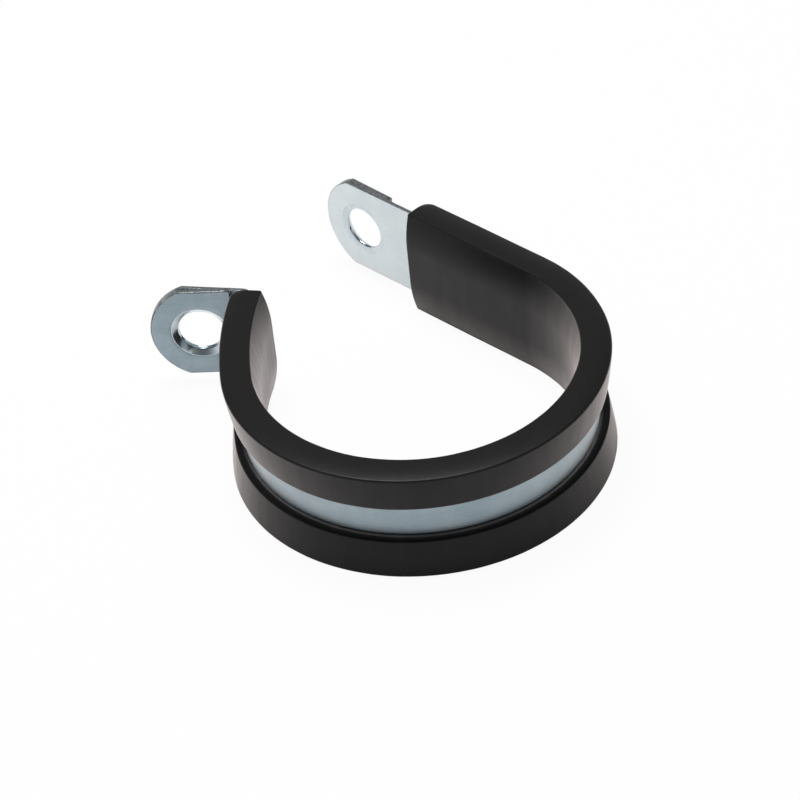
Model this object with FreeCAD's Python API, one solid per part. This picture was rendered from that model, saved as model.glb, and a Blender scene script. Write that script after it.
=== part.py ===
import FreeCAD
import Part
import math
import os

from FreeCAD import Vector

# A rubber-lined P clip, sprung open and lying on its side, in millimetres.
# The origin is the centre of the loop at half its width and +Z is the axis of the cable or pipe
# that it holds. The straight leg runs along X on the +Y side of the loop and ends in the straight ear.
# The other end curls round the loop and is bent outwards into the turned ear.

# Steel strap
strap_width = 20.0
strap_thickness = 0.8

# Loop, measured to the edge of the liner's inner face
loop_radius = 30.8
loop_turn = 220.5
end_arc_radius = 80.0
end_arc_turn = 18.5
leg_length = 30.5

# Rubber liner section
liner_width = 23.8
liner_wall = 2.3
liner_dome = 1.2
dome_land = 8.0
liner_depth = 6.1
lip_depth = 4.95
groove_width = 7.9
lip_bevel = 0.6
outer_edge_chamfer = 0.45
inner_edge_chamfer = 0.4
strap_clearance = 0.05
strap_edge_clearance = 0.1
liner_setback = 0.25
end_corner_round = 2.2

# Outward bend at the root of the turned ear
bend_radius = 2.0
bend_turn = 97.0

# Ears
plate_to_liner = 8.4
plate_to_bend = 1.7
hole_to_corner = 3.5
tip_radius = 11.0
turned_ear_lean = 4.0

# Reinforcing plates
plate_thickness = 1.2
plate_tail = 7.1
plate_edge_chamfer = 0.2
straight_plate_turn = 1.5
turned_plate_turn = 5.6

# Drawn collars that hold the plates
bore_radius = 4.4
mouth_radius = 5.8
mouth_depth = 0.6
collar_wall = 0.8
rim_land = 0.15
collar_clearance = 0.05

Z_AXIS = Vector(0, 0, 1)
half_strap = strap_width / 2
half_liner = liner_width / 2
strap_inside = liner_wall
strap_outside = liner_wall + strap_thickness
strap_middle = liner_wall + strap_thickness / 2
straight_ear_reach = leg_length + plate_to_liner + plate_tail
turned_ear_reach = plate_to_bend + plate_tail


def polar(centre, radius, degrees):
    """Point at a radius and angle round a centre, in the plane of the loop."""
    angle = math.radians(degrees)
    return centre + Vector(radius * math.cos(angle), radius * math.sin(angle), 0)


# Marks along the course of the strap, as angles round each arc's centre
loop_start_angle = 90.0
loop_end_angle = loop_start_angle - loop_turn
end_arc_stop_angle = loop_end_angle - end_arc_turn
loop_centre = Vector(0, 0, 0)
end_arc_centre = polar(loop_centre, loop_radius - end_arc_radius, loop_end_angle)
bend_centre = polar(end_arc_centre, end_arc_radius + strap_middle + bend_radius, end_arc_stop_angle)
bend_start_angle = end_arc_stop_angle + 180.0
bend_stop_angle = bend_start_angle + bend_turn


def arc_edge(centre, radius, start, stop):
    """Arc between two angles, either way round, through its own middle."""
    return Part.Arc(
        polar(centre, radius, start),
        polar(centre, radius, (start + stop) / 2),
        polar(centre, radius, stop),
    ).toShape()


def strap_edges(depth):
    """Line and arcs of the strap's course at a depth outside the liner's inner face."""
    leg = Part.makeLine(
        Vector(-straight_ear_reach + plate_tail, loop_radius + depth, 0),
        Vector(0, loop_radius + depth, 0),
    )
    loop = arc_edge(loop_centre, loop_radius + depth, loop_start_angle, loop_end_angle)
    end = arc_edge(end_arc_centre, end_arc_radius + depth, loop_end_angle, end_arc_stop_angle)
    radius = bend_radius + strap_middle - depth
    bend = arc_edge(bend_centre, radius, bend_start_angle, bend_stop_angle)
    return [leg, loop, end, bend]


def course_ends(depth):
    """First and last point of the strap's course at a depth."""
    edges = strap_edges(depth)
    return edges[0].Vertexes[0].Point, edges[-1].Vertexes[-1].Point


def make_band():
    """The strip between the two ears: its plan between two parallel courses, raised to its width."""
    inner = strap_edges(strap_inside)
    outer = strap_edges(strap_outside)
    inner_first, inner_last = course_ends(strap_inside)
    outer_first, outer_last = course_ends(strap_outside)
    caps = [Part.makeLine(inner_first, outer_first), Part.makeLine(inner_last, outer_last)]
    outline = Part.Wire(Part.__sortEdges__(inner + outer + caps))
    plan = Part.Face(outline)
    plan.translate(Vector(0, 0, -half_strap))
    return plan.extrude(Vector(0, 0, strap_width))


def ear_blank(tail, thickness, lean=0.0):
    """Flat ear about its hole: tip towards +X, tail line towards -X, thickness along +Y.

    The lean is the angle in degrees between the tail line and a square one.
    """
    crown = hole_to_corner + tip_radius - math.sqrt(tip_radius**2 - half_strap**2)
    skew = half_strap * math.sin(math.radians(lean))
    rise = half_strap * math.cos(math.radians(lean))
    top_tail = Vector(skew - tail, 0, rise)
    top_corner = Vector(hole_to_corner, 0, half_strap)
    low_corner = Vector(hole_to_corner, 0, -half_strap)
    low_tail = Vector(-skew - tail, 0, -rise)
    outline = Part.Wire(
        [
            Part.makeLine(top_tail, top_corner),
            Part.Arc(top_corner, Vector(crown, 0, 0), low_corner).toShape(),
            Part.makeLine(low_corner, low_tail),
            Part.makeLine(low_tail, top_tail),
        ]
    )
    return Part.Face(outline).extrude(Vector(0, thickness, 0))


def turned_solid(points, arcs):
    """Solid of revolution about the hole's axis (Y) from its profile; arcs maps an edge to its middle."""
    edges = []
    count = len(points)
    for index in range(count):
        start = Vector(points[index][0], points[index][1], 0)
        stop = Vector(points[(index + 1) % count][0], points[(index + 1) % count][1], 0)
        if index in arcs:
            middle = Vector(arcs[index][0], arcs[index][1], 0)
            edges.append(Part.Arc(start, middle, stop).toShape())
        else:
            edges.append(Part.makeLine(start, stop))
    profile = Part.Face(Part.Wire(edges))
    return profile.revolve(Vector(0, 0, 0), Vector(0, 1, 0), 360)


def collar_body(clearance):
    """Outside of a collar: a tube through the plate that flares into the plate's countersink."""
    stack = strap_thickness + plate_thickness
    tube = bore_radius + collar_wall + clearance
    flare = mouth_radius + rim_land + clearance
    flare_start = stack - mouth_depth
    return turned_solid([(0, 0), (tube, 0), (tube, flare_start), (flare, stack), (0, stack)], {})


def collar_bore():
    """Inside of a collar: a plain bore with a rounded mouth at each end."""
    stack = strap_thickness + plate_thickness
    shrink = 1 - math.sqrt(0.5)
    round_radius = mouth_radius - bore_radius
    middle_radius = bore_radius + round_radius * shrink
    middle_depth = mouth_depth * shrink
    points = [
        (0, 0),
        (mouth_radius, 0),
        (bore_radius, mouth_depth),
        (bore_radius, stack - mouth_depth),
        (mouth_radius, stack),
        (0, stack),
    ]
    arcs = {
        1: (middle_radius, middle_depth),
        3: (middle_radius, stack - middle_depth),
    }
    return turned_solid(points, arcs)


def strap_ear(tail, lean=0.0):
    """One ear of the strap with its drawn collar."""
    return ear_blank(tail, strap_thickness, lean).fuse(collar_body(0)).cut(collar_bore())


def reinforcing_plate(turn):
    """Loose plate on an ear's outer face, countersunk for the collar and turned a little round it."""
    plate = ear_blank(plate_tail, plate_thickness)
    rim = [
        edge
        for edge in plate.Edges
        if all(abs(vertex.Point.y - plate_thickness) < 1e-6 for vertex in edge.Vertexes)
    ]
    plate = plate.makeChamfer(plate_edge_chamfer, rim)
    plate.translate(Vector(0, strap_thickness, 0))
    plate = plate.cut(collar_body(collar_clearance))
    plate.rotate(Vector(0, 0, 0), Vector(0, 1, 0), turn)
    return plate


def placed(shape, origin, towards_tip, outwards):
    """Moves a shape from the ear's own frame to the clip."""
    rotation = FreeCAD.Rotation(towards_tip, outwards, towards_tip.cross(outwards), "XYZ")
    moved = shape.copy()
    moved.Placement = FreeCAD.Placement(origin, rotation).multiply(shape.Placement)
    return moved


def on_straight_ear(shape):
    """Seats a shape on the leg: the ear's inner face is in line with the strap's inner face."""
    origin = Vector(-straight_ear_reach, loop_radius + strap_inside, 0)
    return placed(shape, origin, Vector(-1, 0, 0), Vector(0, 1, 0))


def on_turned_ear(shape):
    """Seats a shape beyond the outward bend, where the ear leans up out of the loop's plane."""
    outwards = polar(Vector(0, 0, 0), 1.0, bend_stop_angle + 180)
    level = polar(Vector(0, 0, 0), 1.0, bend_stop_angle + 90)
    lean = math.radians(turned_ear_lean)
    towards_tip = level * math.cos(lean) + Z_AXIS * math.sin(lean)
    inner_end = course_ends(strap_inside)[1]
    return placed(shape, inner_end + towards_tip * turned_ear_reach, towards_tip, outwards)


def make_strap():
    """The whole strap in one piece: band, two ears and their collars."""
    straight = on_straight_ear(strap_ear(plate_tail))
    turned = on_turned_ear(strap_ear(turned_ear_reach, turned_ear_lean))
    return make_band().fuse([straight, turned]).removeSplitter()


def cut_corner(before, corner, after, setback):
    """Two points that cut off a corner of an outline at equal distances from it."""
    back = (before - corner).normalize()
    ahead = (after - corner).normalize()
    return [corner + back * setback, corner + ahead * setback]


def dome_flank():
    """Start, middle and end of the inner face's curve, from its edge to the land, as depth and height."""
    edge_height = half_liner - inner_edge_chamfer
    flank = edge_height - dome_land / 2
    radius = (liner_dome**2 + flank**2) / (2 * liner_dome)
    half_sweep = math.asin(flank / radius) / 2
    middle_depth = radius * (1 - math.cos(half_sweep)) - liner_dome
    middle_height = dome_land / 2 + radius * math.sin(half_sweep)
    return (0, edge_height), (middle_depth, middle_height), (-liner_dome, dome_land / 2)


def liner_section():
    """Section of the liner at the start of the loop: depth along +Y, width along Z."""
    slot_in = strap_inside - strap_clearance
    slot_out = strap_outside + strap_clearance
    slot_half = half_strap + strap_edge_clearance
    groove_half = groove_width / 2
    edges = []
    land_ends = []
    for side in (1, -1):

        def at(depth, height):
            return Vector(0, loop_radius + depth, side * height)

        lip = [
            at(slot_in, 0),
            at(slot_in, slot_half),
            at(slot_out, slot_half),
            at(slot_out, groove_half - lip_bevel),
            at(lip_depth, groove_half),
        ]
        rim_inside = at(inner_edge_chamfer, half_liner)
        rim_outside = cut_corner(lip[-1], at(liner_depth, half_liner), rim_inside, outer_edge_chamfer)
        flank_start, flank_middle, flank_end = [at(*point) for point in dome_flank()]
        outline = lip + rim_outside + [rim_inside, flank_start]
        for first, second in zip(outline, outline[1:]):
            edges.append(Part.makeLine(first, second))
        edges.append(Part.Arc(flank_start, flank_middle, flank_end).toShape())
        land_ends.append(flank_end)
    edges.append(Part.makeLine(*land_ends))
    return Part.Face(Part.Wire(Part.__sortEdges__(edges)))


def end_corner(corner, along, inwards):
    """What the rounded outer corner of a liner end takes away: a square column less its round."""
    reach_along = along * end_corner_round
    reach_in = inwards * end_corner_round
    centre = corner + reach_along + reach_in
    middle = centre - (along + inwards).normalize() * end_corner_round
    outline = Part.Wire(
        [
            Part.makeLine(corner, corner + reach_along),
            Part.Arc(corner + reach_along, middle, corner + reach_in).toShape(),
            Part.makeLine(corner + reach_in, corner),
        ]
    )
    column = Part.Face(outline)
    column.translate(Vector(0, 0, -half_liner))
    return column.extrude(Vector(0, 0, liner_width))


def make_liner():
    """The liner: its section drawn along the leg and round both arcs, with rounded outer end corners."""
    section = liner_section()
    leg = section.extrude(Vector(-leg_length, 0, 0))
    loop = section.revolve(loop_centre, Z_AXIS, -loop_turn)
    end_section = section.copy()
    end_section.rotate(loop_centre, Z_AXIS, -loop_turn)
    end_section.translate(
        polar(loop_centre, loop_radius, loop_end_angle)
        - polar(end_arc_centre, end_arc_radius, loop_end_angle)
    )
    stop_angle = end_arc_stop_angle + math.degrees(liner_setback / end_arc_radius)
    end = end_section.revolve(end_arc_centre, Z_AXIS, stop_angle - loop_end_angle)
    inwards = polar(loop_centre, 1.0, stop_angle + 180)
    corners = [
        end_corner(Vector(-leg_length, loop_radius + liner_depth, 0), Vector(1, 0, 0), Vector(0, -1, 0)),
        end_corner(
            polar(end_arc_centre, end_arc_radius + liner_depth, stop_angle),
            Z_AXIS.cross(inwards) * -1,
            inwards,
        ),
    ]
    return leg.fuse([loop, end]).removeSplitter().cut(corners)


os.makedirs("parts", exist_ok=True)
nodes = {
    "strap": make_strap(),
    "rubber_liner": make_liner(),
    "straight_ear_plate": on_straight_ear(reinforcing_plate(straight_plate_turn)),
    "turned_ear_plate": on_turned_ear(reinforcing_plate(turned_plate_turn)),
}
for name, shape in nodes.items():
    shape.exportStep("parts/" + name + ".step")
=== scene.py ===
"""Looks of a rubber-lined P clip that lies on its side, sprung open.

The shape classes work in millimetres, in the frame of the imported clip: the origin is the centre of
the loop at half its width, +Z is the axis of the held pipe, and the straight leg runs towards -X.
"""

import logging
import math
from abc import ABC, abstractmethod
from dataclasses import dataclass, replace
from enum import Enum
from itertools import accumulate
from typing import Sequence

import bmesh
import bpy
from mathutils import Matrix, Vector, noise


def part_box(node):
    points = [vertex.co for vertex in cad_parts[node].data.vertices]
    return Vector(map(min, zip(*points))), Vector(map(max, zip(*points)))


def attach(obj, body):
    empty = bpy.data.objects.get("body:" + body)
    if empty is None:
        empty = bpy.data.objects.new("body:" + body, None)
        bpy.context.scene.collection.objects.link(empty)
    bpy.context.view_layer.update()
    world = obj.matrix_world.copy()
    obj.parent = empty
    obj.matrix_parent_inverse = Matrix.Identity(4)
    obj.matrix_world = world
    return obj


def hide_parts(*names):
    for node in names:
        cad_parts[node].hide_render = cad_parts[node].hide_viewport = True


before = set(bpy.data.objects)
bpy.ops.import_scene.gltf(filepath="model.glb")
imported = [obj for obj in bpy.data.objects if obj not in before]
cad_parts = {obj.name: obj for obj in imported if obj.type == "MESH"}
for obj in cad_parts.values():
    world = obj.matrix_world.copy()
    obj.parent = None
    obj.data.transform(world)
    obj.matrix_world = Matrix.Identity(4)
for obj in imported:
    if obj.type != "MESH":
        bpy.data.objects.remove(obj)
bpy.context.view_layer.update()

log = logging.getLogger("p_clip")

MM = 0.001
ROOT_BODY = "root"
COURSE_MAP = "course"
FACE_SHADING_WEIGHT = 90
QUARTER_TURN = 90.0
HALF_TURN = 180.0

Point = tuple[float, float]
Ring = tuple[list[Point], float]
Spot = tuple[Vector, float, float]


class Slot(Enum):
    """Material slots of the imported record."""

    STEEL = "zinc_plated_steel"
    RUBBER = "black_rubber"


class Skin(Enum):
    """Which of a piece's finishes a face takes; the value is its place in the list of materials."""

    FACE = 0
    CUT = 1
    INNER = 2
    DRAWN = 3


class EarSide(Enum):
    """The two ears of the strap."""

    STRAIGHT = "straight"
    TURNED = "turned"


# Degrees by which the tip of each reinforcing plate is turned up on its collar
PLATE_LIFTS = {EarSide.STRAIGHT: 1.5, EarSide.TURNED: -5.6}


def polar(centre: Vector, radius: float, degrees: float) -> Vector:
    """Finds a point round a centre in the plane of the loop.

    Args:
        centre: Centre of the circle.
        radius: Distance from the centre.
        degrees: Angle from +X, counter-clockwise seen from +Z.

    Returns:
        The point, at the centre's height.
    """
    angle = math.radians(degrees)
    return centre + Vector((radius * math.cos(angle), radius * math.sin(angle), 0.0))


def spread(start: float, stop: float, steps: int) -> list[float]:
    """Divides a range evenly.

    Args:
        start: First value.
        stop: Last value.
        steps: Number of gaps between the values.

    Returns:
        The values, one more than there are steps.
    """
    return [start + (stop - start) * index / steps for index in range(steps + 1)]


@dataclass(frozen=True)
class Course:
    """The line that the strap follows in plan, as one straight leg, three arcs and a straight ear.

    A run is a length along the middle of the strap's thickness, from the start of the loop. A depth
    is measured outwards from the edge of the liner's inner face.
    """

    loop_radius: float = 30.8
    loop_turn: float = 220.5
    end_arc_radius: float = 80.0
    end_arc_turn: float = 18.5
    bend_radius: float = 2.0
    bend_turn: float = 97.0
    strap_inside: float = 2.3
    strap_thickness: float = 0.8

    @property
    def strap_outside(self) -> float:
        """Depth of the strap's outer face."""
        return self.strap_inside + self.strap_thickness

    @property
    def strap_middle(self) -> float:
        """Depth of the middle of the strap's thickness."""
        return self.strap_inside + self.strap_thickness / 2

    @property
    def loop_length(self) -> float:
        """Run at which the loop's arc ends."""
        return math.radians(self.loop_turn) * (self.loop_radius + self.strap_middle)

    @property
    def end_arc_stop(self) -> float:
        """Run at which the flatter end arc ends and the outward bend starts."""
        return self.loop_length + math.radians(self.end_arc_turn) * (
            self.end_arc_radius + self.strap_middle
        )

    @property
    def bend_stop(self) -> float:
        """Run at which the outward bend ends and the turned ear starts."""
        return self.end_arc_stop + math.radians(self.bend_turn) * self.bend_radius

    def at(self, run: float, depth: float, height: float) -> Vector:
        """Places a point of the flat strap on its course.

        Args:
            run: Length along the strap.
            depth: Distance outwards from the liner's inner face.
            height: Distance from the middle of the strap's width.

        Returns:
            The point in the clip's frame, in millimetres.
        """
        lift = Vector((0.0, 0.0, height))
        if run < 0:
            return Vector((run, self.loop_radius + depth, 0.0)) + lift
        loop_end = QUARTER_TURN - self.loop_turn
        if run < self.loop_length:
            turned = math.degrees(run / (self.loop_radius + self.strap_middle))
            return polar(Vector(), self.loop_radius + depth, QUARTER_TURN - turned) + lift
        arc_centre = polar(Vector(), self.loop_radius - self.end_arc_radius, loop_end)
        if run < self.end_arc_stop:
            turned = math.degrees(
                (run - self.loop_length) / (self.end_arc_radius + self.strap_middle)
            )
            return polar(arc_centre, self.end_arc_radius + depth, loop_end - turned) + lift
        arc_stop = loop_end - self.end_arc_turn
        bend_reach = self.end_arc_radius + self.strap_middle + self.bend_radius
        bend_centre = polar(arc_centre, bend_reach, arc_stop)
        bend_depth = self.bend_radius + self.strap_middle - depth
        turned = math.degrees((min(run, self.bend_stop) - self.end_arc_stop) / self.bend_radius)
        spoke = arc_stop + HALF_TURN + turned
        on_bend = polar(bend_centre, bend_depth, spoke)
        ahead = polar(Vector(), 1.0, spoke + QUARTER_TURN)
        return on_bend + ahead * max(0.0, run - self.bend_stop) + lift


@dataclass(frozen=True)
class EarShape:
    """Outline of an ear and the drawn collar round its bolt hole, about the hole's centre."""

    half_width: float = 10.0
    corner: float = 3.5
    tip_radius: float = 11.0
    bore_radius: float = 4.4
    mouth_radius: float = 5.8
    mouth_depth: float = 0.6
    entry_radius: float = 5.1
    entry_dish: float = 0.07
    throat_depth: float = 1.36
    throat_round: float = 0.12
    hip_radius: float = 4.66
    hip_depth: float = 0.82
    hip_round: float = 0.3
    crest_round: float = 0.14
    collar_radius: float = 5.2
    rim_land: float = 0.15
    plate_thickness: float = 1.2
    root_steps: int = 12
    side_steps: int = 8
    tip_steps: int = 36
    flat_rings: int = 4

    def outline(self, tail: float, inset: float, lean: float = 0.0) -> list[Point]:
        """Walks round the ear: up its tail line, along one side, round the tip and back.

        Args:
            tail: Distance from the hole to the straight tail line.
            inset: How far inside the true edge the walk runs, the tail line apart.
            lean: Degrees between the tail line and a square one.

        Returns:
            Points as distance towards the tip and height.
        """
        edge = self.half_width - inset
        radius = self.tip_radius - inset
        centre = self.corner - math.sqrt(self.tip_radius**2 - self.half_width**2)
        sweep = math.asin(edge / radius)
        corner = centre + math.sqrt(radius**2 - edge**2)
        slant = math.radians(lean)
        root = [
            Vector((height * math.sin(slant) - tail, height * math.cos(slant)))
            for height in spread(-edge, edge, self.root_steps)
        ]
        top = [root[-1].lerp(Vector((corner, edge)), share) for share in spread(0, 1, self.side_steps)]
        low = [Vector((corner, -edge)).lerp(root[0], share) for share in spread(0, 1, self.side_steps)]
        tip = [
            (centre + radius * math.cos(angle), radius * math.sin(angle))
            for angle in spread(sweep, -sweep, self.tip_steps)
        ]
        there = [tuple(point) for point in root + top[1:-1]]
        return there + tip + [tuple(point) for point in low[1:-1]]

    @staticmethod
    def circle(radius: float, guide: Sequence[Point]) -> list[Point]:
        """Circle about the hole with one point on the ray to each point of a guide line.

        Args:
            radius: Radius of the circle.
            guide: Points that set the angles.

        Returns:
            Points as distance towards the tip and height.
        """
        return [tuple(Vector(point).normalized() * radius) for point in guide]

    def rings(self, outer: Sequence[Point], inner: Sequence[Point], rise: float) -> list[Ring]:
        """Divides a flat face between two closed lines.

        Args:
            outer: Line round the outside.
            inner: Line round the hole, point for point.
            rise: Distance of the face from the ear's inner face.

        Returns:
            The rings between the two lines, from the outside inwards.
        """
        shares = spread(0.0, 1.0, self.flat_rings + 1)[1:-1]
        return [
            ([tuple(Vector(a).lerp(Vector(b), share)) for a, b in zip(outer, inner)], rise)
            for share in shares
        ]


class MeshSketch:
    """Gathers rows of points into faces and welds them into one mesh."""

    WELD_DISTANCE = 1e-7

    def __init__(self) -> None:
        """Starts an empty mesh with a map for runs and heights."""
        self.mesh = bmesh.new()
        self.uv = self.mesh.loops.layers.uv.new(COURSE_MAP)

    def rows(
        self, rows: Sequence[Sequence[Spot]], closed: bool = False, skin: Skin = Skin.FACE
    ) -> None:
        """Adds the faces between each row and the next.

        Args:
            rows: Rows of spots, all of one length.
            closed: Whether each row joins its own start.
            skin: Finish of the faces.
        """
        corners = [[self.mesh.verts.new(spot[0] * MM) for spot in row] for row in rows]
        count = len(rows[0])
        for upper in range(len(rows) - 1):
            for first in range(count if closed else count - 1):
                second = (first + 1) % count
                picks = [(upper, first), (upper, second), (upper + 1, second), (upper + 1, first)]
                face = self.mesh.faces.new([corners[row][column] for row, column in picks])
                face.material_index = skin.value
                face.smooth = True
                for loop, (row, column) in zip(face.loops, picks):
                    _, along, across = rows[row][column]
                    loop[self.uv].uv = (along * MM, across * MM)

    def cap(self, row: Sequence[Spot], skin: Skin = Skin.CUT) -> None:
        """Closes a row with one flat face.

        Args:
            row: Spots round the opening.
            skin: Finish of the face.
        """
        face = self.mesh.faces.new([self.mesh.verts.new(spot[0] * MM) for spot in row])
        face.material_index = skin.value
        for loop, (_, along, across) in zip(face.loops, row):
            loop[self.uv].uv = (along * MM, across * MM)

    def build(self, name: str) -> bpy.types.Object:
        """Welds the faces and makes the object.

        Args:
            name: Name of the object and its mesh.

        Returns:
            The new object, linked to the scene.
        """
        bmesh.ops.remove_doubles(self.mesh, verts=self.mesh.verts, dist=self.WELD_DISTANCE)
        bmesh.ops.dissolve_degenerate(self.mesh, edges=self.mesh.edges, dist=self.WELD_DISTANCE)
        bmesh.ops.recalc_face_normals(self.mesh, faces=self.mesh.faces)
        data = bpy.data.meshes.new(name)
        self.mesh.to_mesh(data)
        self.mesh.free()
        piece = bpy.data.objects.new(name, data)
        bpy.context.scene.collection.objects.link(piece)
        return piece


def soften(piece: bpy.types.Object) -> None:
    """Lets the large faces set the shading, so that small edge rounds don't shade the flats.

    Args:
        piece: A mesh object with smooth faces.
    """
    weights = piece.modifiers.new("face_shading", "WEIGHTED_NORMAL")
    weights.mode = "FACE_AREA"
    weights.weight = FACE_SHADING_WEIGHT
    weights.keep_sharp = True


class ClipPiece(ABC):
    """A piece of the clip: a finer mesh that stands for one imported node."""

    SLOT: Slot

    @property
    @abstractmethod
    def node(self) -> str:
        """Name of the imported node."""

    @abstractmethod
    def build(self) -> bpy.types.Object:
        """Builds the mesh as one object."""

    def dress(self, materials: Sequence[bpy.types.Material]) -> None:
        """Builds the piece, gives it its finishes and seats it in the frame.

        Args:
            materials: Finishes, in the order of Skin.
        """
        piece = self.build()
        soften(piece)
        for material in materials:
            piece.data.materials.append(material)
        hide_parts(self.node)
        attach(piece, ROOT_BODY)
        log.info("%s stands for %s with %d faces", piece.name, self.node, len(piece.data.polygons))


def quarter(start: Point, stop: Point, steps: int, bulge_first: bool) -> list[Point]:
    """Quarter of an ellipse between two points.

    Args:
        start: First point.
        stop: Last point.
        steps: Number of gaps between points.
        bulge_first: Whether the curve leaves the start along the first coordinate.

    Returns:
        The points, both ends included.
    """
    points = []
    for angle in spread(0.0, math.pi / 2, steps):
        near, far = math.sin(angle), 1.0 - math.cos(angle)
        share = (near, far) if bulge_first else (far, near)
        points.append(
            (
                start[0] + (stop[0] - start[0]) * share[0],
                start[1] + (stop[1] - start[1]) * share[1],
            )
        )
    return points


def eased_corner(before: Point, corner: Point, after: Point, radius: float, steps: int) -> list[Point]:
    """Rounds a corner of an outline with an arc.

    Args:
        before: Point that the outline comes from.
        corner: The corner.
        after: Point that it goes to.
        radius: Radius of the arc.
        steps: Number of gaps between the arc's points.

    Returns:
        Points of the arc.
    """
    here = Vector(corner)
    back = (Vector(before) - here).normalized()
    ahead = (Vector(after) - here).normalized()
    half = back.angle(ahead) / 2
    centre = here + (back + ahead).normalized() * (radius / math.sin(half))
    start = here + back * (radius / math.tan(half)) - centre
    stop = here + ahead * (radius / math.tan(half)) - centre
    turn = start.angle_signed(stop)
    arc = []
    for angle in spread(0.0, turn, steps):
        spoke = Matrix.Rotation(-angle, 2) @ start
        arc.append(tuple(centre + spoke))
    return arc


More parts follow.
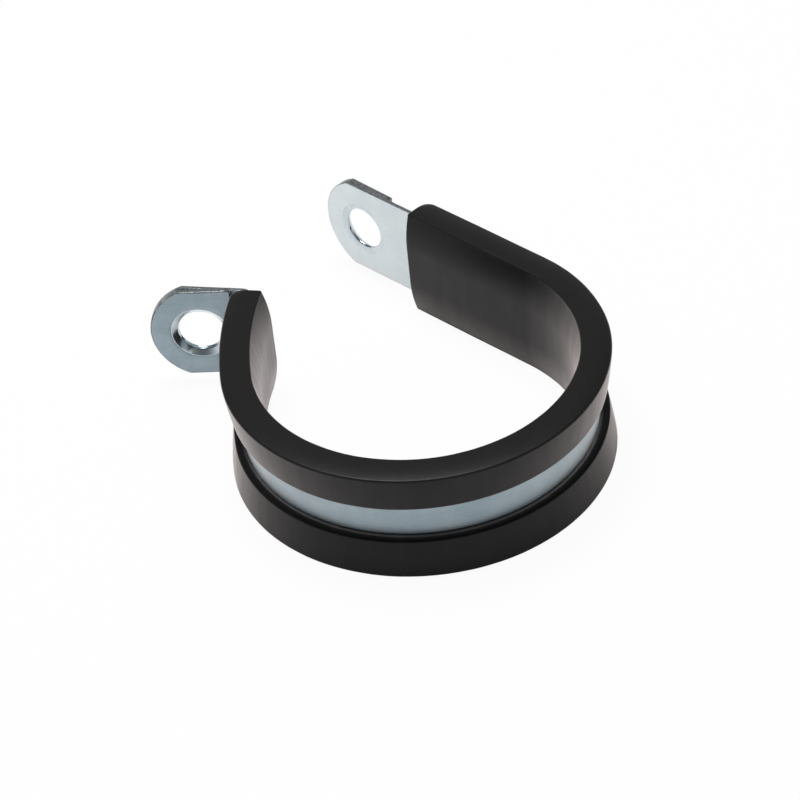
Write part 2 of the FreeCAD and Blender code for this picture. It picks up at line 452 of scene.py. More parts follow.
@dataclass(frozen=True)
class Strap(ClipPiece):
    """The steel strap: a band with two rounded ears, each with a collar drawn round its hole."""

    SLOT = Slot.STEEL

    course: Course
    ear: EarShape
    straight_reach: float = 46.0
    turned_reach: float = 8.8
    turned_lean: float = 4.0
    edge_round: float = 0.13
    edge_steps: int = 3
    mouth_steps: int = 8
    rim_steps: int = 4
    arc_step: float = 1.5
    bend_steps: int = 16
    leg_steps: int = 24

    @property
    def node(self) -> str:
        """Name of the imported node."""
        return "strap"

    def ear_spot(self, side: EarSide, point: Point, rise: float) -> Spot:
        """Places a point of an ear.

        Args:
            side: Which ear.
            point: Distance from the hole towards the tip, and height.
            rise: Distance outwards from the ear's inner face.

        Returns:
            The spot with its run and height.
        """
        if side is EarSide.STRAIGHT:
            run, height = -self.straight_reach - point[0], point[1]
        else:
            slant = math.radians(self.turned_lean)
            along = self.turned_reach + point[0]
            run = self.course.bend_stop + along * math.cos(slant) - point[1] * math.sin(slant)
            height = along * math.sin(slant) + point[1] * math.cos(slant)
        return self.course.at(run, self.course.strap_inside + rise, height), run, height

    def edge_profile(self) -> list[Point]:
        """Walks over the strap's cut edge, from the inner face to the outer one.

        Returns:
            Points as inset and rise.
        """
        top = self.course.strap_thickness
        radius = self.edge_round
        lower = quarter((radius, 0.0), (0.0, radius), self.edge_steps, True)
        upper = quarter((0.0, top - radius), (radius, top), self.edge_steps, False)
        return lower + upper

    def collar_profile(self) -> list[Point]:
        """Walks from the inner mouth through the throat and over the flared rim.

        Returns:
            Points as radius and rise.
        """
        ear = self.ear
        stack = self.course.strap_thickness + ear.plate_thickness
        entry = (ear.entry_radius, ear.entry_dish)
        throat = (ear.bore_radius, stack - ear.throat_depth)
        hip = (ear.hip_radius, stack - ear.hip_depth)
        crest = (ear.mouth_radius, stack)
        shoulder = (ear.mouth_radius + ear.rim_land, stack - ear.rim_land)
        lead = (ear.bore_radius, throat[1] - ear.throat_round / 2)
        profile = [(ear.mouth_radius, 0.0)] + quarter(entry, lead, self.mouth_steps, True)
        profile += eased_corner(lead, throat, hip, ear.throat_round, self.rim_steps)
        profile += eased_corner(throat, hip, crest, ear.hip_round, self.rim_steps)
        profile += eased_corner(hip, crest, shoulder, ear.crest_round, self.rim_steps)
        profile += [shoulder, (ear.collar_radius, stack - ear.mouth_depth)]
        profile.append((ear.collar_radius, self.course.strap_thickness))
        return profile

    def add_ear(self, sketch: MeshSketch, side: EarSide) -> None:
        """Adds one ear with its collar, open at the root where the band joins it.

        Args:
            sketch: Mesh that takes the faces.
            side: Which ear.
        """
        ear = self.ear
        lean = self.turned_lean if side is EarSide.TURNED else 0.0
        guide = ear.outline(self.turned_reach, self.edge_round, lean)
        collar = [(ear.circle(radius, guide), rise) for radius, rise in self.collar_profile()]
        top = self.course.strap_thickness
        face = [(guide, 0.0)] + ear.rings(guide, collar[0][0], 0.0) + collar[:1]
        back = collar[-1:] + ear.rings(guide, collar[-1][0], top)[::-1] + [(guide, top)]
        for loops, skin in ((face, Skin.INNER), (collar, Skin.DRAWN), (back, Skin.FACE)):
            spots = [[self.ear_spot(side, point, rise) for point in loop] for loop, rise in loops]
            sketch.rows(spots, closed=True, skin=skin)
        edge = []
        for inset, rise in self.edge_profile():
            walk = ear.outline(self.turned_reach, inset, lean)
            free = walk[ear.root_steps :] + walk[:1]
            edge.append([self.ear_spot(side, point, rise) for point in free])
        sketch.rows(edge, skin=Skin.CUT)

    def runs(self, start: float, stop: float) -> list[float]:
        """Sets the band's cross-sections, close together where it curves.

        Args:
            start: Run at the root of the straight ear.
            stop: Run at the root of the turned ear.

        Returns:
            Their runs.
        """
        course = self.course
        loop_steps = math.ceil(course.loop_turn / self.arc_step)
        arc_steps = math.ceil(course.end_arc_turn / self.arc_step)
        marks = spread(start, 0.0, self.leg_steps)
        marks += spread(0.0, course.loop_length, loop_steps)[1:]
        marks += spread(course.loop_length, course.end_arc_stop, arc_steps)[1:]
        marks += spread(course.end_arc_stop, stop, self.bend_steps)[1:]
        return marks

    def band_spot(self, run: float, rise: float, height: float) -> Spot:
        """Places a point of the band, at a rise above its inner face."""
        return self.course.at(run, self.course.strap_inside + rise, height), run, height

    def add_band(self, sketch: MeshSketch, start: float, stop: float) -> None:
        """Adds the band's two faces and two cut edges.

        Args:
            sketch: Mesh that takes the faces.
            start: Run at the root of the straight ear.
            stop: Run at the root of the turned ear.
        """
        edge = self.ear.half_width - self.edge_round
        heights = spread(-edge, edge, self.ear.root_steps)
        runs = self.runs(start, stop)
        for rise, skin in ((0.0, Skin.INNER), (self.course.strap_thickness, Skin.FACE)):
            rows = [[self.band_spot(run, rise, height) for height in heights] for run in runs]
            sketch.rows(rows, skin=skin)
        for sign in (1, -1):
            walk = [(sign * (self.ear.half_width - inset), rise) for inset, rise in self.edge_profile()]
            rows = [[self.band_spot(run, rise, height) for height, rise in walk] for run in runs]
            sketch.rows(rows, skin=Skin.CUT)

    def build(self) -> bpy.types.Object:
        """Builds the whole strap.

        Returns:
            One welded mesh object.
        """
        sketch = MeshSketch()
        for side in EarSide:
            self.add_ear(sketch, side)
        self.add_band(sketch, self.turned_reach - self.straight_reach, self.course.bend_stop)
        return sketch.build("steel_strap")


@dataclass(frozen=True)
class Plate(ClipPiece):
    """A loose reinforcing plate on an ear's outer face, countersunk for the strap's collar."""

    SLOT = Slot.STEEL

    strap: Strap
    side: EarSide
    lift: float
    tail: float = 7.1
    clearance: float = 0.05
    face_round: float = 0.25
    back_round: float = 0.08
    edge_steps: int = 4

    @property
    def node(self) -> str:
        """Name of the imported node."""
        return self.side.value + "_ear_plate"

    def spot(self, point: Point, rise: float) -> Spot:
        """Places a point of the plate, whose tip is turned up on the collar.

        Args:
            point: Distance from the hole towards the tip, and height.
            rise: Distance outwards from the ear's inner face.

        Returns:
            The spot with its run and height.
        """
        angle = math.radians(self.lift)
        reach = point[0] * math.cos(angle) - point[1] * math.sin(angle)
        height = point[1] * math.cos(angle) + point[0] * math.sin(angle)
        place, _, _ = self.strap.ear_spot(self.side, (reach, height), rise)
        return place, point[0], point[1]

    @property
    def back(self) -> float:
        """Rise of the plate's back."""
        return self.strap.course.strap_thickness

    @property
    def face(self) -> float:
        """Rise of the plate's face."""
        return self.back + self.strap.ear.plate_thickness

    def edge_profile(self) -> list[Point]:
        """Walks over the plate's edge, from its back to its face.

        Returns:
            Points as inset and rise.
        """
        back_turn = (0.0, self.back + self.back_round)
        face_turn = (0.0, self.face - self.face_round)
        lower = quarter((self.back_round, self.back), back_turn, self.edge_steps, True)
        upper = quarter(face_turn, (self.face_round, self.face), self.edge_steps, False)
        return lower + upper

    def closed_outline(self, inset: float) -> list[Point]:
        """Outline of the plate with its tail line drawn in by the same inset."""
        return self.strap.ear.outline(self.tail - inset, inset)

    def hole_profile(self) -> list[Point]:
        """Walks down the countersunk hole, from the plate's face to its back.

        Returns:
            Points as radius and rise.
        """
        ear = self.strap.ear
        rim = ear.mouth_radius + ear.rim_land + self.clearance
        wall = ear.collar_radius + self.clearance
        return [(rim, self.face), (wall, self.face - ear.mouth_depth), (wall, self.back)]

    def build(self) -> bpy.types.Object:
        """Builds the plate.

        Returns:
            One welded mesh object.
        """
        sketch = MeshSketch()
        ear = self.strap.ear
        face_line = self.closed_outline(self.face_round)
        back_line = self.closed_outline(self.back_round)
        hole = [(ear.circle(radius, face_line), rise) for radius, rise in self.hole_profile()]
        loops = [(face_line, self.face)] + ear.rings(face_line, hole[0][0], self.face) + hole
        loops += ear.rings(back_line, hole[-1][0], self.back)[::-1] + [(back_line, self.back)]
        sketch.rows([[self.spot(point, rise) for point in loop] for loop, rise in loops], closed=True)
        edge = [
            [self.spot(point, rise) for point in self.closed_outline(inset)]
            for inset, rise in self.edge_profile()
        ]
        sketch.rows(edge, closed=True, skin=Skin.CUT)
        return sketch.build(self.side.value + "_reinforcing_plate")


@dataclass(frozen=True)
class Wave:
    """A slow waver of the soft rubber along the liner: its share, its length and its line of noise."""

    share: float
    length: float
    line: tuple[float, float]


@dataclass(frozen=True)
class Liner(ClipPiece):
    """The rubber liner: an extruded section that wraps the strap's edges, bent round its course."""

    SLOT = Slot.RUBBER

    course: Course
    half_width: float = 11.9
    half_strap: float = 10.0
    dome: float = 1.2
    dome_land: float = 8.0
    depth: float = 6.02
    lip_depth: float = 4.95
    half_groove: float = 3.95
    lip_bevel: float = 0.6
    rim_crown: float = 0.34
    crown_power: int = 3
    lip_bow: float = 0.06
    lip_round: float = 0.22
    inner_round: float = 0.35
    outer_round: float = 0.4
    clearance: float = 0.05
    edge_clearance: float = 0.1
    leg_length: float = 30.5
    setback: float = 0.25
    corner_round: float = 2.2
    cut_round: float = 0.25
    arc_step: float = 1.2
    leg_steps: int = 24
    end_arc_steps: int = 20
    end_steps: int = 10
    end_crowding: float = 1.6
    dome_steps: int = 20
    face_steps: int = 14
    corner_steps: int = 4
    shoulder_steps: int = 5
    wander: float = 0.035
    wander_middle: float = 0.5
    waves: tuple[Wave, ...] = (
        Wave(share=1.0, length=9.0, line=(3.7, 1.3)),
        Wave(share=0.5, length=2.5, line=(8.1, 2.9)),
    )

    @property
    def node(self) -> str:
        """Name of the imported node."""
        return "rubber_liner"

    @property
    def start(self) -> float:
        """Run at the liner's end on the leg."""
        return -self.leg_length

    @property
    def stop(self) -> float:
        """Run at the liner's end before the outward bend."""
        return self.course.end_arc_stop - self.setback

    def half_section(self) -> list[Point]:
        """Walks round the upper half of the section, from the slot's middle to the dome's.

        Returns:
            Points as depth and height.
        """
        slot_in = self.course.strap_inside - self.clearance
        slot_out = self.course.strap_outside + self.clearance
        slot_edge = self.half_strap + self.edge_clearance
        ledge = (slot_out, self.half_groove - self.lip_bevel)
        lip = (self.lip_depth, self.half_groove)
        shoulder = (self.depth, self.half_width - self.rim_crown)
        outer = self.bowed(lip, shoulder, self.lip_bow)
        rim = [
            (depth, self.half_width - self.rim_crown * (depth / self.depth) ** self.crown_power)
            for depth in spread(self.depth, 0.0, self.face_steps)
        ]
        crest_height = self.half_width - self.inner_round
        points: list[Point] = [(slot_in, 0.0), (slot_in, slot_edge), (slot_out, slot_edge), ledge]
        points += eased_corner(ledge, lip, outer[1], self.lip_round, self.corner_steps)
        points += outer[1:-1]
        points += eased_corner(outer[-2], shoulder, rim[1], self.outer_round, self.shoulder_steps)
        points += rim[1:-1]
        points += eased_corner(rim[-2], rim[-1], (0.0, 0.0), self.inner_round, self.corner_steps)
        flank = crest_height - self.dome_land / 2
        radius = (self.dome**2 + flank**2) / (2 * self.dome)
        for height in spread(crest_height, 0.0, self.dome_steps)[1:]:
            over = max(0.0, height - self.dome_land / 2)
            points.append((radius - math.sqrt(radius**2 - over**2) - self.dome, height))
        return points

    def bowed(self, start: Point, stop: Point, bow: float) -> list[Point]:
        """Draws a slightly bulging line between two corners.

        Args:
            start: First corner.
            stop: Last corner.
            bow: Height of the bulge, outwards along the depth.

        Returns:
            Points of the line, both corners included.
        """
        line = []
        for share in spread(0.0, 1.0, self.face_steps):
            depth, height = Vector(start).lerp(Vector(stop), share)
            line.append((depth + bow * math.sin(math.pi * share), height))
        return line

    def section(self) -> list[Point]:
        """Mirrors the half into the whole section.

        Returns:
            Closed points as depth and height.
        """
        upper = self.half_section()
        lower = [(depth, -height) for depth, height in reversed(upper[1:-1])]
        return upper + lower

    @staticmethod
    def shrunk(section: Sequence[Point], inset: float) -> list[Point]:
        """Draws the section in by an inset, for the rounded edge of a cut end.

        Args:
            section: Closed section.
            inset: Distance inwards.

        Returns:
            The drawn-in section, point for point.
        """
        points = []
        count = len(section)
        for index, point in enumerate(section):
            before = Vector(section[index - 1])
            after = Vector(section[(index + 1) % count])
            ahead = (after - before).normalized()
            points.append((point[0] - ahead.y * inset, point[1] + ahead.x * inset))
        return points

    def unevenness(self, run: float) -> float:
        """Finds how far the soft rubber stands back from its full section.

        Args:
            run: Place along the liner.

        Returns:
            A small distance.
        """
        level = self.wander_middle
        for wave in self.waves:
            level += wave.share * noise.noise(Vector((run / wave.length, *wave.line)))
        return self.wander * min(1.0, max(0.0, level))

    def trimmed(self, depth: float, gap: float) -> float:
        """Rounds off the liner's outer corner near a cut end.

        Args:
            depth: Depth of the point along the liner.
            gap: Distance of the point from the end.

        Returns:
            The depth, less near the end for points outside the strap.
        """
        outside = self.course.strap_outside
        if depth <= outside or gap >= self.corner_round:
            return depth
        fall = self.corner_round - gap
        limit = self.depth - self.corner_round + math.sqrt(self.corner_round**2 - fall**2)
        return outside + (depth - outside) * (limit - outside) / (self.depth - outside)

    def runs(self) -> list[float]:
        """Sets the liner's cross-sections, closest together at its two ends.

        Returns:
            Their runs.
        """
        loop = self.course.loop_length
        shares = spread(0.0, 1.0, self.end_steps)
        gaps = [self.corner_round * share**self.end_crowding for share in shares]
        marks = [self.start + gap for gap in gaps]
        marks += spread(marks[-1], 0.0, self.leg_steps)[1:]
        marks += spread(0.0, loop, math.ceil(self.course.loop_turn / self.arc_step))[1:]
        marks += spread(loop, self.stop - gaps[-1], self.end_arc_steps)[1:]
        marks += [self.stop - gap for gap in reversed(gaps[:-1])]
        return marks

    def row(self, section: Sequence[Point], run: float, inset: float) -> list[Spot]:
        """Places the section on the course.

        Args:
            section: Closed section.
            run: Its place along the liner.
            inset: Distance by which it is drawn in.

        Returns:
            Spots whose last number is the length walked round the section.
        """
        gap = min(run - self.start, self.stop - run)
        shape = self.shrunk(section, inset + self.unevenness(run))
        walked = accumulate(map(math.dist, section, section[1:]), initial=0.0)
        return [
            (self.course.at(run, self.trimmed(depth, gap), height), run, across)
            for (depth, height), across in zip(shape, walked)
        ]

    def build(self) -> bpy.types.Object:
        """Builds the liner.

        Returns:
            One closed mesh object.
        """
        section = self.section()
        rounding = quarter((self.cut_round, 0.0), (0.0, self.cut_round), self.corner_steps, True)
        first, last = self.start + self.cut_round, self.stop - self.cut_round
        rows = [self.row(section, self.start + gap, inset) for inset, gap in rounding]
        rows += [self.row(section, run, 0.0) for run in self.runs() if first < run < last]
        rows += [self.row(section, self.stop - gap, inset) for inset, gap in reversed(rounding)]
        sketch = MeshSketch()
        sketch.rows(rows, closed=True)
        sketch.cap(rows[0])
        sketch.cap(rows[-1])
        return sketch.build("rubber_lining")


class NodeKit:
    """Shorthand for placing and joining the nodes of one tree."""

    def __init__(self, tree: bpy.types.NodeTree) -> None:
        """Keeps the tree that the nodes go into."""
        self.tree = tree

    def add(self, kind: str, **settings: object) -> bpy.types.Node:
        """Adds a node.

        Args:
            kind: Blender's type name of the node.
            **settings: Properties of the node.

        Returns:
            The node.
        """
        node = self.tree.nodes.new(kind)
        for name, value in settings.items():
            setattr(node, name, value)
        return node

    def link(self, source: bpy.types.NodeSocket, target: bpy.types.NodeSocket) -> None:
        """Joins an output to an input."""
        self.tree.links.new(source, target)

    def math(self, operation: str, first: object, second: object = 0.0) -> bpy.types.NodeSocket:
        """Adds a math node whose inputs are sockets or numbers.

        Args:
            operation: Blender's name of the operation.
            first: Left side.
            second: Right side, for an operation that has one.

        Returns:
            The node's output.
        """
        node = self.add("ShaderNodeMath", operation=operation)
        for socket, value in zip(node.inputs, (first, second)):
            if isinstance(value, bpy.types.NodeSocket):
                self.link(value, socket)
            else:
                socket.default_value = value
        return node.outputs[0]

    def scaled(self, value: bpy.types.NodeSocket, low: float, high: float) -> bpy.types.NodeSocket:
        """Maps a value from 0 to 1 onto another range.

        Args:
            value: Source value.
            low: Result at 0.
            high: Result at 1.

        Returns:
            The mapped value.
        """
        node = self.add("ShaderNodeMapRange")
        self.link(value, node.inputs["Value"])
        node.inputs["To Min"].default_value = low
        node.inputs["To Max"].default_value = high
        return node.outputs["Result"]

    def mix(
        self, share: bpy.types.NodeSocket, first: Sequence[float], second: Sequence[float]
    ) -> bpy.types.NodeSocket:
        """Mixes two colours.

        Args:
            share: Share of the second colour.
            first: First colour.
            second: Second colour.

        Returns:
            The mixed colour.
        """
        node = self.add("ShaderNodeMix", data_type="RGBA")
        self.link(share, node.inputs["Factor"])
        node.inputs["A"].default_value = (*first, 1.0)
        node.inputs["B"].default_value = (*second, 1.0)
        return node.outputs["Result"]


class CourseGroup:
    """Node group whose effect is laid out on the strap's map of runs and heights."""

    def __init__(self, name: str, inputs: dict[str, float], outputs: Sequence[str]) -> None:
        """Starts the group.

        Args:
            name: Name of the group.
            inputs: Label and first value of each input.
            outputs: Label of each output.
        """
        self.tree = bpy.data.node_groups.new(name, "ShaderNodeTree")
        face = self.tree.interface
        for label, value in inputs.items():
            socket = face.new_socket(label, in_out="INPUT", socket_type="NodeSocketFloat")
            socket.default_value = value
        for label in outputs:
            face.new_socket(label, in_out="OUTPUT", socket_type="NodeSocketFloat")
        self.kit = NodeKit(self.tree)
        self.source = self.kit.add("NodeGroupInput")
        self.sink = self.kit.add("NodeGroupOutput")

    def drawn_out(self, axis: str, amount: str) -> bpy.types.NodeSocket:
        """Takes the map with one axis drawn out.

        Args:
            axis: X for the run or Y for the height.
            amount: Label of the input that says how far.

        Returns:
            The place on the map.
        """
        course = self.kit.add("ShaderNodeUVMap", uv_map=COURSE_MAP)
        split = self.kit.add("ShaderNodeSeparateXYZ")
        self.kit.link(course.outputs["UV"], split.inputs["Vector"])
        join = self.kit.add("ShaderNodeCombineXYZ")
        for label in ("X", "Y"):
            value = split.outputs[label]
            if label == axis:
                value = self.kit.math("DIVIDE", value, self.source.outputs[amount])
            self.kit.link(value, join.inputs[label])
        return join.outputs["Vector"]

    def cloud(self, place: bpy.types.NodeSocket, scale: str, detail: float) -> bpy.types.NodeSocket:
        """Adds a cloudy noise.

        Args:
            place: Place on the map.
            scale: Label of the input that holds its scale.
            detail: Blender's detail of the noise.

        Returns:
            The noise.
        """
        node = self.kit.add("ShaderNodeTexNoise")
        node.inputs["Detail"].default_value = detail
        self.kit.link(place, node.inputs["Vector"])
        self.kit.link(self.source.outputs[scale], node.inputs["Scale"])
        return node.outputs["Fac"]

    def placed(self, kit: NodeKit, values: dict[str, float]) -> bpy.types.Node:
        """Puts the group into a material.

        Args:
            kit: The material's nodes.
            values: Label and value of each input that the material sets.

        Returns:
            The group's node.
        """
        node = kit.add("ShaderNodeGroup", node_tree=self.tree)
        for label, value in values.items():
            node.inputs[label].default_value = value
        return node


class GrainGroup(CourseGroup):
    """A soft mottle and a fine grain that both stretch along the strap's course."""

    DETAIL = {"Mottle": 3.0, "Grain": 2.0}

    def __init__(self) -> None:
        """Builds the group once."""
        inputs = {"Mottle Scale": 200.0, "Grain Scale": 2000.0, "Stretch": 1.0}
        super().__init__("course_grain", inputs, list(self.DETAIL))
        place = self.drawn_out("X", "Stretch")
        for label, detail in self.DETAIL.items():
            self.kit.link(self.cloud(place, label + " Scale", detail), self.sink.inputs[label])


class StreakGroup(CourseGroup):
    """Soft streaks that run across the strap's width, as a mask."""

    DETAIL = 4.0

    def __init__(self) -> None:
        """Builds the group once."""
        inputs = {"Scale": 300.0, "Length": 6.0, "Low": 0.35, "High": 0.7}
        super().__init__("cross_streaks", inputs, ["Streaks"])
        cloud = self.cloud(self.drawn_out("Y", "Length"), "Scale", self.DETAIL)
        window = self.kit.add("ShaderNodeMapRange", interpolation_type="SMOOTHSTEP")
        self.kit.link(cloud, window.inputs["Value"])
        self.kit.link(self.source.outputs["Low"], window.inputs["From Min"])
        self.kit.link(self.source.outputs["High"], window.inputs["From Max"])
        self.kit.link(window.outputs["Result"], self.sink.inputs["Streaks"])


@dataclass(frozen=True)
class Effects:
    """The node groups that the finishes share."""

    grain: GrainGroup
    streaks: StreakGroup


@dataclass(frozen=True, kw_only=True)
class Finish:
    """One procedural finish: two tones, a span of roughness, streaks and a bumpy grain.

    Scales are per metre. A stretch or a length says how many times longer than wide the marks are.
    """

    name: str
    dark: tuple[float, float, float]
    light: tuple[float, float, float]
    smooth: float
    rough: float
    metallic: float
    specular: float
    mottle_scale: float
    grain_scale: float
    stretch: float
    bump: float
    bump_depth: float
    streak_scale: float
    streak_length: float
    streak_share: float
    grain_share: float = 0.5
    tone_drop: float = 0.25

    def colour(
        self, kit: NodeKit, tone: bpy.types.NodeSocket, streaks: bpy.types.NodeSocket
    ) -> bpy.types.NodeSocket:
        """Mixes the base colour.

        Args:
            kit: The material's nodes.
            tone: Share of the light tone.
            streaks: Mask of the streaks; not used here.

        Returns:
            The colour.
        """
        return kit.mix(tone, self.dark, self.light)

    def build(self, effects: Effects) -> bpy.types.Material:
        """Makes the material.

        Args:
            effects: The shared node groups.

        Returns:
            The material.
        """
        material = bpy.data.materials.new(self.name)
        material.use_nodes = True
        kit = NodeKit(material.node_tree)
        shader = material.node_tree.nodes["Principled BSDF"]
        shader.inputs["Metallic"].default_value = self.metallic
        shader.inputs["Specular IOR Level"].default_value = self.specular
        sizes = {"Mottle Scale": self.mottle_scale, "Grain Scale": self.grain_scale, "Stretch": self.stretch}
        grain = effects.grain.placed(kit, sizes)
        marks = effects.streaks.placed(kit, {"Scale": self.streak_scale, "Length": self.streak_length})
        streaks = marks.outputs["Streaks"]
        fine = kit.math("MULTIPLY", grain.outputs["Grain"], self.grain_share)
        tone = kit.math("ADD", grain.outputs["Mottle"], fine)
        drop = kit.scaled(streaks, -self.tone_drop - self.streak_share, -self.tone_drop)
        tone = kit.math("ADD", tone, drop)
        kit.link(self.colour(kit, tone, streaks), shader.inputs["Base Color"])
        kit.link(kit.scaled(tone, self.rough, self.smooth), shader.inputs["Roughness"])
        bump = kit.add("ShaderNodeBump")
        bump.inputs["Strength"].default_value = self.bump
        bump.inputs["Distance"].default_value = self.bump_depth
        kit.link(grain.outputs["Grain"], bump.inputs["Height"])
        kit.link(bump.outputs["Normal"], shader.inputs["Normal"])
        return material


@dataclass(frozen=True, kw_only=True)
class SheenFinish(Finish):
    """A finish with a painted sheen: upright faces are painted paler at a grazing angle, standing in for the
    grazing reflection of the pale floor.
    """

    # Colour, share and steepness of the painted sheen
    painted_sheen: tuple[float, float, float]
    painted_sheen_share: float
    painted_sheen_power: float
    rim_share: float = 0.15
    rim_turn: tuple[float, float] = (0.45, 0.85)
    streak_fade: float = 0.82

    def colour(
        self, kit: NodeKit, tone: bpy.types.NodeSocket, streaks: bpy.types.NodeSocket
    ) -> bpy.types.NodeSocket:
        """Mixes the base colour and the painted sheen.

        Args:
            kit: The material's nodes.
            tone: Share of the light tone.
            streaks: Mask of the streaks, which the painted sheen follows.

        Returns:
            The colour.
        """
        # Painted sheen: the base colour pales towards the sheen colour as the face turns edge-on to the
        # view, less on tops and bottoms
        facing = kit.add("ShaderNodeLayerWeight")
        grazing = kit.math("POWER", facing.outputs["Facing"], self.painted_sheen_power)
        place = kit.add("ShaderNodeTexCoord")
        split = kit.add("ShaderNodeSeparateXYZ")
        kit.link(place.outputs["Normal"], split.inputs["Vector"])
        upright = kit.add("ShaderNodeMapRange", interpolation_type="SMOOTHSTEP")
        kit.link(kit.math("ABSOLUTE", split.outputs["Z"]), upright.inputs["Value"])
        upright.inputs["From Min"].default_value = self.rim_turn[0]
        upright.inputs["From Max"].default_value = self.rim_turn[1]
        upright.inputs["To Min"].default_value = 1.0
        upright.inputs["To Max"].default_value = self.rim_share
        grazing = kit.math("MULTIPLY", grazing, upright.outputs["Result"])
        streaky = kit.scaled(streaks, self.streak_fade * self.painted_sheen_share, self.painted_sheen_share)
        layer = kit.add("ShaderNodeMix", data_type="RGBA")
        kit.link(kit.math("MULTIPLY", grazing, streaky), layer.inputs["Factor"])
        kit.link(kit.mix(tone, self.dark, self.light), layer.inputs["A"])
        layer.inputs["B"].default_value = (*self.painted_sheen, 1.0)
        return layer.outputs["Result"]


# Painted shade: the plating's base colour is set darker than its own here, standing in for the darker
# surroundings that the outer faces of strap and plates reflect
PAINTED_DARK_ZINC = SheenFinish(
    name="zinc_plate",
    dark=(0.255, 0.335, 0.38),
    light=(0.37, 0.445, 0.49),
    smooth=0.38,
    rough=0.52,
    metallic=1.0,
    specular=0.5,
    mottle_scale=260.0,
    grain_scale=2600.0,
    stretch=3.0,
    bump=0.08,
    bump_depth=0.00005,
    streak_scale=150.0,
    streak_length=4.0,
    streak_share=0.25,
    # Painted sheen, nearly white at a grazing angle, standing in for the reflection of the pale floor
    painted_sheen=(0.97, 0.985, 0.99),
    painted_sheen_share=1.0,
    painted_sheen_power=1.9,
)
# Painted light: a lighter copy of the zinc for the strap's inner face, standing in for the lit floor that it
# reflects
PAINTED_LIGHT_ZINC = replace(
    PAINTED_DARK_ZINC, name="zinc_inner_face_painted_light", dark=(0.62, 0.69, 0.72), light=(0.77, 0.82, 0.83)
)
DRAWN_ZINC = replace(
    PAINTED_DARK_ZINC,
    name="burnished_zinc_collar",
    dark=(0.42, 0.50, 0.54),
    light=(0.68, 0.75, 0.78),
    smooth=0.11,
    rough=0.2,
    streak_scale=900.0,
)
SHEARED_ZINC = Finish(
    name="sheared_zinc_edge",
    dark=(0.10, 0.11, 0.115),
    light=(0.46, 0.49, 0.51),
    smooth=0.2,
    rough=0.5,
    metallic=1.0,
    specular=0.5,
    mottle_scale=900.0,
    grain_scale=2400.0,
    stretch=1.5,
    bump=0.7,
    bump_depth=0.00012,
    streak_scale=1500.0,
    streak_length=3.0,
    streak_share=0.3,
)
RUBBER = SheenFinish(
    name="black_rubber_skin",
    dark=(0.0035, 0.0033, 0.0032),
    light=(0.0115, 0.0104, 0.01),
    smooth=0.28,
    rough=0.4,
    metallic=0.0,
    specular=0.2,
    mottle_scale=160.0,
    grain_scale=3200.0,
    stretch=1.0,
    bump=0.12,
    bump_depth=0.00004,
    streak_scale=420.0,
    streak_length=5.0,
    streak_share=0.2,
    # Painted sheen, pinkish grey at a grazing angle, standing in for the reflection of the pale floor
    painted_sheen=(0.95, 0.81, 0.78),
    painted_sheen_share=1.0,
    painted_sheen_power=4.5,
)
CUT_RUBBER = SheenFinish(
    name="cut_rubber_end",
    dark=(0.007, 0.0066, 0.0065),
    light=(0.013, 0.0122, 0.012),
    smooth=0.5,
    rough=0.7,
    metallic=0.0,
    specular=0.3,
    mottle_scale=400.0,
    grain_scale=2500.0,
    stretch=1.0,
    bump=0.3,
    bump_depth=0.00008,
    streak_scale=900.0,
    streak_length=6.0,
    streak_share=0.3,
    # Painted sheen on the cut ends at a grazing angle
    painted_sheen=(0.3, 0.27, 0.265),
    painted_sheen_share=0.5,
    painted_sheen_power=4.0,
)


@dataclass(frozen=True)
class PhotoCamera:
    """Camera at the photograph's viewpoint, as fitted to the clip's outlines.

    Its place, lens and sensor are in millimetres, and its near and far limits in metres.
    """

    azimuth: float = 46.796
    pitch: float = 39.318
    roll: float = -6.2696
    place: tuple[float, float, float] = (351.107, -334.938, 397.974)
    lens: float = 149.52
    sensor: float = 36.0
    near: float = 0.01
    far: float = 20.0

    def build(self) -> bpy.types.Object:
        """Makes the camera and gives it to the scene.

        Returns:
            The camera object.
        """
        data = bpy.data.cameras.new("photo_camera")
        data.lens = self.lens
        data.sensor_width = self.sensor
        data.clip_start = self.near
        data.clip_end = self.far
        camera = bpy.data.objects.new("photo_camera", data)
        bpy.context.scene.collection.objects.link(camera)
        turn = Matrix.Rotation(math.radians(self.azimuth), 4, "Z")
        tilt = Matrix.Rotation(math.radians(QUARTER_TURN - self.pitch), 4, "X")
        spin = Matrix.Rotation(math.radians(self.roll), 4, "Z")
        camera.matrix_world = Matrix.Translation(Vector(self.place) * MM) @ turn @ tilt @ spin
        bpy.context.scene.camera = camera
        return camera


@dataclass(frozen=True)
class SoftBox:
    """A square studio light that points at the clip, with its place and size in metres."""

    name: str
    place: tuple[float, float, float]
    size: float
    power: float
    colour: tuple[float, float, float] = (1.0, 1.0, 1.0)

    def build(self) -> bpy.types.Object:
        """Makes the light.

        Returns:
            The light object.
        """
        data = bpy.data.lights.new(self.name, "AREA")
        data.size = self.size
        data.energy = self.power
        data.color = self.colour
        light = bpy.data.objects.new(self.name, data)
        bpy.context.scene.collection.objects.link(light)
        light.location = self.place
        aim = -Vector(self.place)
        light.rotation_euler = aim.to_track_quat("-Z", "Y").to_euler()
        return light


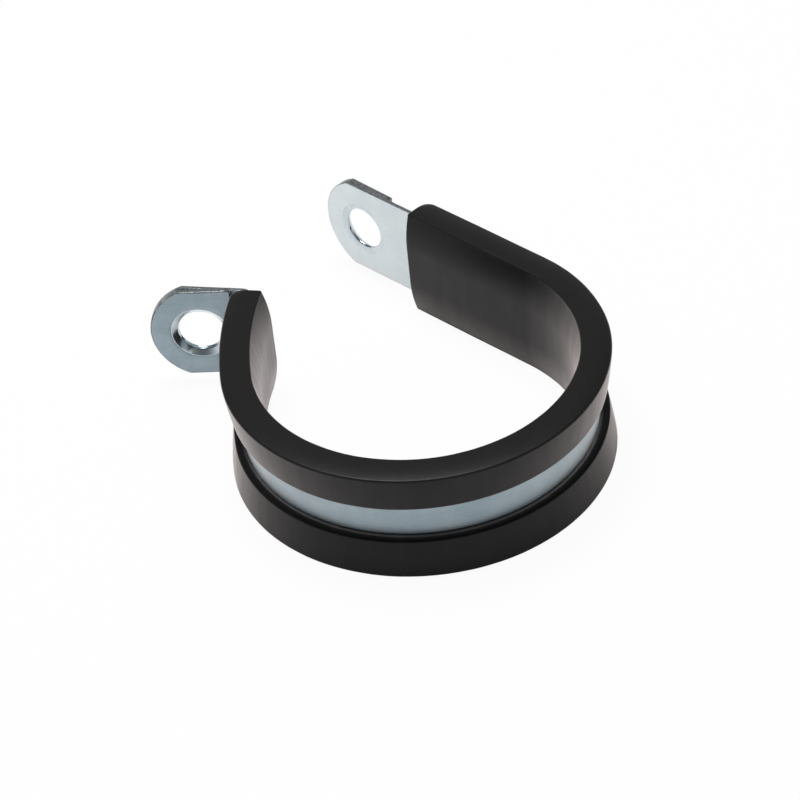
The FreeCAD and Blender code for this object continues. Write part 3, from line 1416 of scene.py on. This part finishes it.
@dataclass(frozen=True)
class Studio:
    """Plain pale floor, white backdrop and soft light from overhead."""

    floor_height: float
    floor_size: float = 6.0
    floor_tone: float = 0.95
    camera_share: float = 0.95
    glossy_share: float = 0.35
    ambient: float = 0.2
    room_tone: float = 0.12
    backdrop_rise: tuple[float, float] = (0.25, 0.55)
    box: SoftBox = SoftBox(name="top_box", place=(-0.15, 0.05, 0.74), size=0.38, power=4.8)

    @staticmethod
    def mirror_rays(kit: NodeKit, path: bpy.types.Node) -> bpy.types.NodeSocket:
        """Marks the rays that metal and glass send on."""
        return kit.math("ADD", path.outputs["Is Glossy Ray"], path.outputs["Is Transmission Ray"])

    def floor_material(self) -> bpy.types.Material:
        """Makes the floor white to the camera, apart from a soft shadow, and pale to other rays.

        Returns:
            The material.
        """
        material = bpy.data.materials.new("pale_floor")
        material.use_nodes = True
        nodes = material.node_tree.nodes
        nodes.clear()
        kit = NodeKit(material.node_tree)
        paint = kit.add("ShaderNodeBsdfDiffuse")
        paint.inputs["Color"].default_value = (self.floor_tone,) * 3 + (1.0,)
        glow = kit.add("ShaderNodeEmission")
        path = kit.add("ShaderNodeLightPath")
        seen = kit.math("MULTIPLY", path.outputs["Is Camera Ray"], self.camera_share)
        mirrored = kit.math("MULTIPLY", self.mirror_rays(kit, path), self.glossy_share)
        share = kit.math("ADD", seen, mirrored)
        blend = kit.add("ShaderNodeMixShader")
        kit.link(share, blend.inputs["Fac"])
        kit.link(paint.outputs["BSDF"], blend.inputs[1])
        kit.link(glow.outputs["Emission"], blend.inputs[2])
        output = kit.add("ShaderNodeOutputMaterial")
        kit.link(blend.outputs["Shader"], output.inputs["Surface"])
        return material

    def build_floor(self) -> None:
        """Makes the floor just under the clip."""
        half = self.floor_size / 2
        data = bpy.data.meshes.new("floor")
        corners = [(-half, -half), (half, -half), (half, half), (-half, half)]
        data.from_pydata([(x, y, self.floor_height) for x, y in corners], [], [(0, 1, 2, 3)])
        data.materials.append(self.floor_material())
        floor = bpy.data.objects.new("floor", data)
        bpy.context.scene.collection.objects.link(floor)

    def build_world(self) -> None:
        """Makes the world white to the camera, dim overhead to mirror rays, and plain to others."""
        world = bpy.data.worlds.new("studio")
        world.use_nodes = True
        bpy.context.scene.world = world
        kit = NodeKit(world.node_tree)
        background = world.node_tree.nodes["Background"]
        background.inputs["Color"].default_value = (1.0, 1.0, 1.0, 1.0)
        path = kit.add("ShaderNodeLightPath")
        mirrored = self.mirror_rays(kit, path)
        place = kit.add("ShaderNodeTexCoord")
        split = kit.add("ShaderNodeSeparateXYZ")
        kit.link(place.outputs["Generated"], split.inputs["Vector"])
        rise = kit.add("ShaderNodeMapRange", interpolation_type="SMOOTHSTEP")
        kit.link(split.outputs["Z"], rise.inputs["Value"])
        for label, value in zip(("From Min", "From Max"), self.backdrop_rise):
            rise.inputs[label].default_value = value
        rise.inputs["To Min"].default_value = 1.0
        rise.inputs["To Max"].default_value = self.room_tone
        camera = path.outputs["Is Camera Ray"]
        seen = kit.math("ADD", kit.math("MULTIPLY", mirrored, rise.outputs["Result"]), camera)
        shown = kit.math("MINIMUM", kit.math("ADD", mirrored, camera), 1.0)
        other = kit.math("MULTIPLY", kit.math("SUBTRACT", 1.0, shown), self.ambient)
        level = kit.math("ADD", seen, other)
        kit.link(level, background.inputs["Strength"])

    def build(self) -> None:
        """Makes the floor, the world and the light."""
        self.build_floor()
        self.build_world()
        self.box.build()


def main() -> None:
    """Builds the clip, the camera and the studio."""
    logging.basicConfig(level=logging.INFO, format="%(name)s: %(message)s")
    strap = Strap(Course(), EarShape())
    effects = Effects(GrainGroup(), StreakGroup())
    steel = [finish.build(effects) for finish in (PAINTED_DARK_ZINC, SHEARED_ZINC, PAINTED_LIGHT_ZINC, DRAWN_ZINC)]
    rubber = [finish.build(effects) for finish in (RUBBER, CUT_RUBBER)]
    liner = Liner(strap.course)
    strap.dress(steel)
    liner.dress(rubber)
    for side, lift in PLATE_LIFTS.items():
        Plate(strap, side, lift).dress(steel[: Skin.INNER.value])
    PhotoCamera().build()
    Studio(floor_height=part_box(liner.node)[0].z).build()
    bpy.context.scene.view_settings.view_transform = "Standard"


if __name__ == "__main__":
    main()
